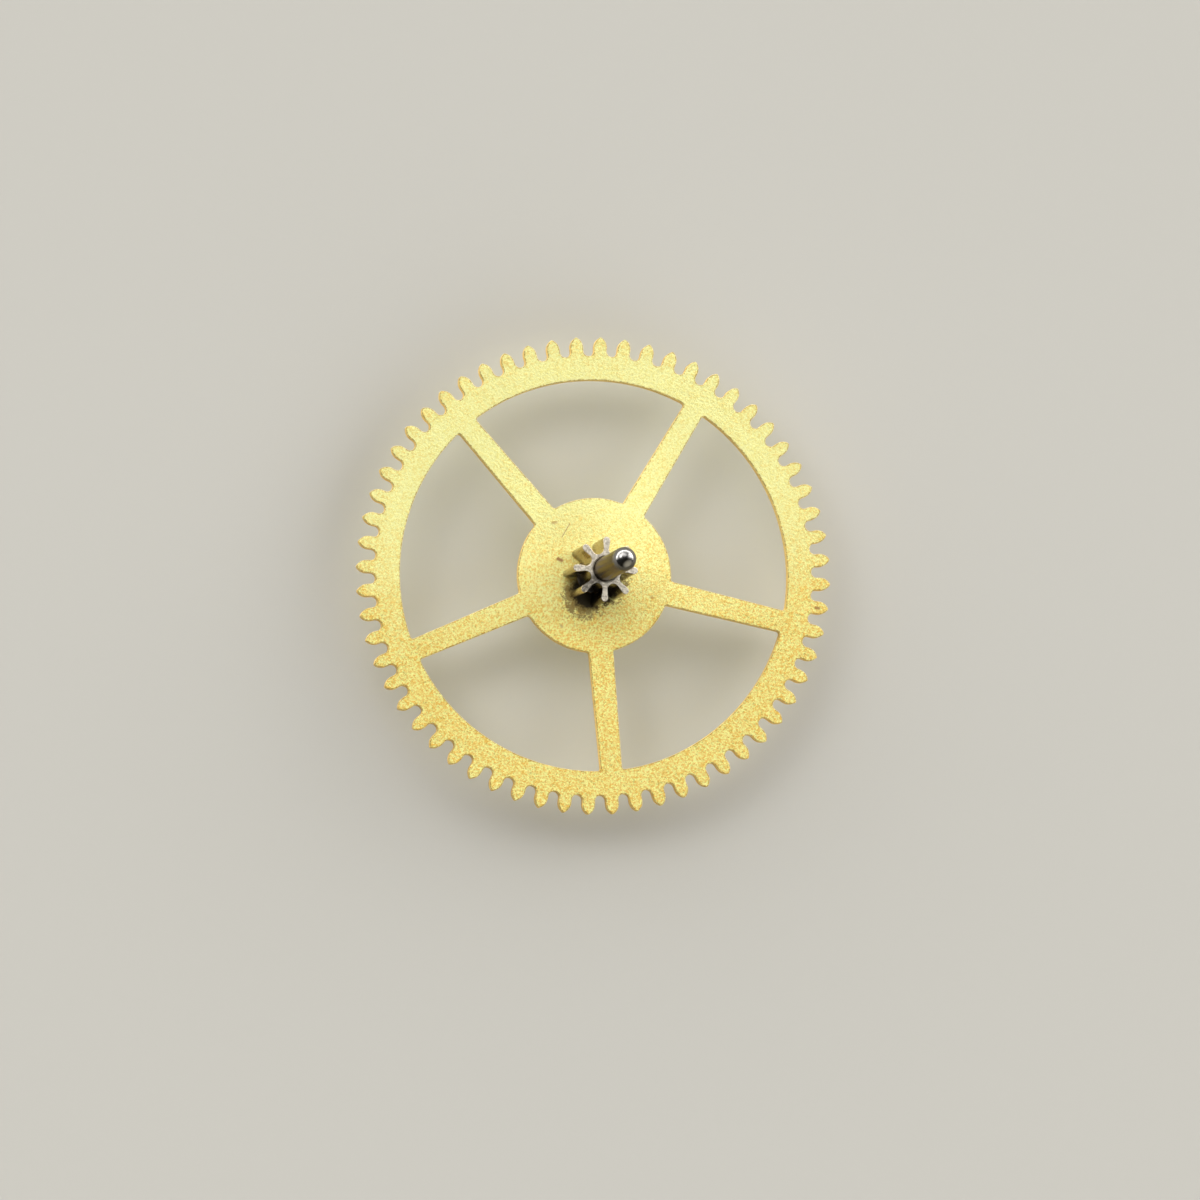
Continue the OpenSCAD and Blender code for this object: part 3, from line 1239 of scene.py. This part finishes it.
@dataclass(frozen=True)
class PinionArbor:
    """The steel piece: pinion, arbor, seat, rivet and both pivots."""

    leaves: ToothForm = ToothForm(8, 0.12 * MM, 0.072 * MM, 0.206 * MM, 0.122 * MM, 0.055 * MM)
    first_leaf: float = -QUARTER_TURN + math.radians(38)
    leaf_height: float = 1.21 * MM
    leaf_edge: EdgeForm = EdgeForm(0.009 * MM, 0.01 * MM, 3)
    hollow_radius: float = 0.23 * MM
    hollow_depth: float = 0.04 * MM
    arbor_radius: float = 0.2 * MM
    dome_height: float = 0.165 * MM
    seat_radius: float = 0.31 * MM
    rivet_width: float = 0.06 * MM
    rivet_height: float = 0.05 * MM
    lower_arbor_radius: float = 0.3 * MM
    lower_pivot_radius: float = 0.14 * MM
    lower_pivot_height: float = 0.36 * MM
    lower_dome_height: float = 0.12 * MM
    round: float = 0.008 * MM
    small_round: float = 0.002 * MM
    overlap: float = 0.002 * MM
    weld: float = 0.00002 * MM
    sharp_angle: float = math.radians(35)
    dome_steps: int = 20
    node: str = "pinion_arbor"

    def dome(self, radius: float, base: float, height: float) -> list[Vector]:
        """A dome's line from its edge to its pole.

        Args:
            radius: The radius of its edge.
            base: The height at which it starts.
            height: Its own height, below nought where it points down.

        Returns:
            The points, without the edge itself.
        """
        ball = (radius * radius + height * height) / (2 * abs(height))
        way = math.copysign(1.0, height)
        reach = math.asin(radius / ball)
        centre = base + height - way * ball
        angles = [reach * (1 - i / self.dome_steps) for i in range(1, self.dome_steps + 1)]
        return [Vector((ball * math.sin(a), centre + way * ball * math.cos(a))) for a in angles]

    def leaf_prism(self, low: float, high: float) -> Object:
        """The leaves as a solid of their own, which has no material.

        Args:
            low: The height of their lower ends.
            high: The height of their upper ends.

        Returns:
            The solid.
        """
        sheet = ShapeSheet("pinion_leaves")
        count, half = self.leaves.half(sheet)
        turn = sheet.size("First Leaf", self.first_leaf)
        outline = sheet.turned(sheet.outline(count, half, Side.INSIDE), turn)
        return sheet.solid(sheet.slab(outline, low, high, self.leaf_edge), None, "leaves")

    def build(self, material: Material) -> Object:
        """Builds the pinion with its arbor where the frame's node stands.

        Args:
            material: Its finish.

        Returns:
            The pinion, which replaces the node.
        """
        plate_low, plate_high = (corner.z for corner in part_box("toothed_wheel"))
        bottom, top = (corner.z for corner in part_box(self.node))
        face = plate_high + self.leaf_height
        turning = Turning()
        hollow = turning.solid("hollow", turning.line([
            Corner(0.0, face - self.hollow_depth),
            Corner(self.hollow_radius, face - self.hollow_depth, self.round),
            Corner(self.hollow_radius, face + self.hollow_depth),
            Corner(0.0, face + self.hollow_depth),
        ]))
        shoulder = bottom + self.lower_pivot_height
        pivot_foot = bottom + self.lower_dome_height
        dome_foot = top - self.dome_height
        line = self.dome(self.lower_pivot_radius, pivot_foot, -self.lower_dome_height)[::-1]
        line += turning.line([
            Corner(self.lower_pivot_radius, pivot_foot),
            Corner(self.lower_pivot_radius, shoulder, self.round * 2),
            Corner(self.lower_arbor_radius, shoulder, self.round),
            Corner(self.lower_arbor_radius, plate_low - self.rivet_height, self.small_round),
            Corner(self.seat_radius, plate_low - self.rivet_height, self.small_round),
            Corner(self.seat_radius + self.rivet_width, plate_low),
            Corner(self.seat_radius, plate_low),
            Corner(self.seat_radius, plate_high + self.overlap),
            Corner(self.arbor_radius, plate_high + self.overlap),
            Corner(self.arbor_radius, dome_foot),
        ])
        line += self.dome(self.arbor_radius, dome_foot, self.dome_height)
        arbor = add_object(turning.solid("arbor", line))
        cutter = add_object(hollow)
        made = self.leaf_prism(plate_high, face)
        self.combine(made, cutter, Joint.CUT_OUT)
        self.combine(made, arbor, Joint.ADDED)
        made.name = made.data.name = "steel_pinion"
        made.data.materials.clear()
        made.data.materials.append(material)
        made.data.set_sharp_from_angle(angle=self.sharp_angle)
        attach(made, "root")
        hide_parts(self.node)
        return made

    def combine(self, body: Object, other: Object, joint: Joint) -> None:
        """Adds another solid to a body or cuts it out, and removes it.

        Args:
            body: The solid that is changed.
            other: The solid that is used up.
            joint: How it is used.
        """
        modifier = body.modifiers.new("join", "BOOLEAN")
        modifier.operation = joint.value
        modifier.solver = "EXACT"
        modifier.object = other
        welded = body.modifiers.new("weld", "WELD")
        welded.merge_threshold = self.weld
        seen = body.evaluated_get(bpy.context.evaluated_depsgraph_get())
        mesh = bpy.data.meshes.new_from_object(seen)
        body.modifiers.clear()
        body.data = mesh
        bpy.data.objects.remove(other)


@dataclass(frozen=True)
class Panel:
    """A round soft panel of the studio, seen from the object.

    The bearing is turned about the Z axis from +X, and the height is above the horizon. It is even
    up to the inner angle from its middle and ends at the outer one. Angles are in degrees.
    """

    bearing: float
    height: float
    inner: float
    outer: float
    level: float

    @property
    def direction(self) -> Vector:
        """The way to its middle.

        Returns:
            A unit vector.
        """
        bearing, height = math.radians(self.bearing), math.radians(self.height)
        flat = math.cos(height)
        return Vector((flat * math.cos(bearing), flat * math.sin(bearing), math.sin(height)))

    @property
    def span(self) -> Span:
        """The cosines of its outer and its inner angle."""
        return math.cos(math.radians(self.outer)), math.cos(math.radians(self.inner))


@dataclass(frozen=True)
class Studio:
    """A pale sheet in a room that is bright low down and on the far side, and dim overhead.

    Levels are radiances, where 1 lights a white sheet to white if it comes from all sides.
    """

    floor_radius: float = 400 * MM
    floor_sides: int = 64
    dim_level: float = 0.06
    low_level: float = 7.0
    low_span: Span = (0.22, 0.06)
    far_direction: Vector = Vector((math.cos(math.radians(85)), math.sin(math.radians(85)), 0.0))
    far_span: Span = (-0.15, 0.2)
    far_level: float = 0.40
    top_span: Span = (0.95, 0.8)
    wash_level: float = 2.45
    wash_span: Span = (0.5, 0.2)
    tint: Colour = (1.0, 0.99, 0.97)
    backdrop_level: float = 0.6
    horizon_span: Span = (0.08, 0.04)
    panels: tuple[Panel, ...] = (
        Panel(25.0, 28.0, 8.0, 26.0, 2.9),
        Panel(143.0, 42.0, 6.0, 15.0, 4.8),
        Panel(115.0, 36.0, 8.0, 22.0, 1.6),
        Panel(90.0, 50.0, 6.0, 24.0, 1.8),
        Panel(298.0, 25.0, 12.0, 45.0, 2.0),
    )

    def add_floor(self, material: Material) -> Object:
        """Adds the sheet at the height of the lower pivot's tip.

        Args:
            material: Its finish.

        Returns:
            The sheet.
        """
        bpy.ops.mesh.primitive_circle_add(
            vertices=self.floor_sides, radius=self.floor_radius, fill_type="NGON")
        floor = bpy.context.object
        floor.name = "floor"
        floor.data.materials.append(material)
        return floor

    def add_world(self) -> None:
        """Lights the scene from low down, from the far side and from the panels.

        The camera sees a plain pale backdrop instead, and so does the metal at the horizon.
        """
        world = bpy.data.worlds.new("studio")
        world.use_nodes = True
        sheet = NodeSheet(world.node_tree)
        sheet.tree.nodes.clear()
        towards = sheet.value("ShaderNodeTexCoord", output="Generated")
        height = sheet.parts(towards)[2]
        far = sheet.facing_of(towards, self.far_direction).ramp(*self.far_span)
        wash = self.far_level * height.ramp(*self.top_span)
        wash = wash + self.wash_level * height.ramp(*self.wash_span)
        level = self.dim_level + far * (wash + self.low_level * height.ramp(*self.low_span))
        for panel in self.panels:
            near = sheet.facing_of(towards, panel.direction)
            level = level + panel.level * near.ramp(*panel.span)
        path = sheet.node("ShaderNodeLightPath")
        camera, glossy, clear = (Value(sheet, path.outputs[f"Is {ray} Ray"])
                                 for ray in ("Camera", "Glossy", "Transmission"))
        seen = (camera + (glossy + clear) * height.ramp(*self.horizon_span)).at_most(1.0)
        level = level + (self.backdrop_level - level) * seen
        sockets = {"Color": (*self.tint, 1.0), "Strength": level}
        light = sheet.node("ShaderNodeBackground", sockets)
        sheet.node("ShaderNodeOutputWorld", {"Surface": light})
        bpy.context.scene.world = world


def add_object(data: ID) -> Object:
    """Adds an object at the origin.

    Args:
        data: The mesh or the camera that it holds, whose name it takes.

    Returns:
        The object.
    """
    made = bpy.data.objects.new(data.name, data)
    bpy.context.scene.collection.objects.link(made)
    return made


def main() -> None:
    """Builds the pieces in order, then the studio."""
    logging.basicConfig(level=logging.INFO, format="%(message)s")
    scene = bpy.context.scene
    scene.view_settings.view_transform = "Standard"
    view = PhotoView()
    pieces = [
        ToothedWheel().build(GiltBrass().material(view)),
        PinionArbor().build(PinionSteel().material()),
    ]
    for piece in pieces:
        LOG.info("%s: %d faces", piece.name, len(piece.data.polygons))
    studio = Studio()
    studio.add_floor(PaleSheet().material())
    studio.add_world()
    view.add_camera(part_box("toothed_wheel")[1].z)


if __name__ == "__main__":
    main()
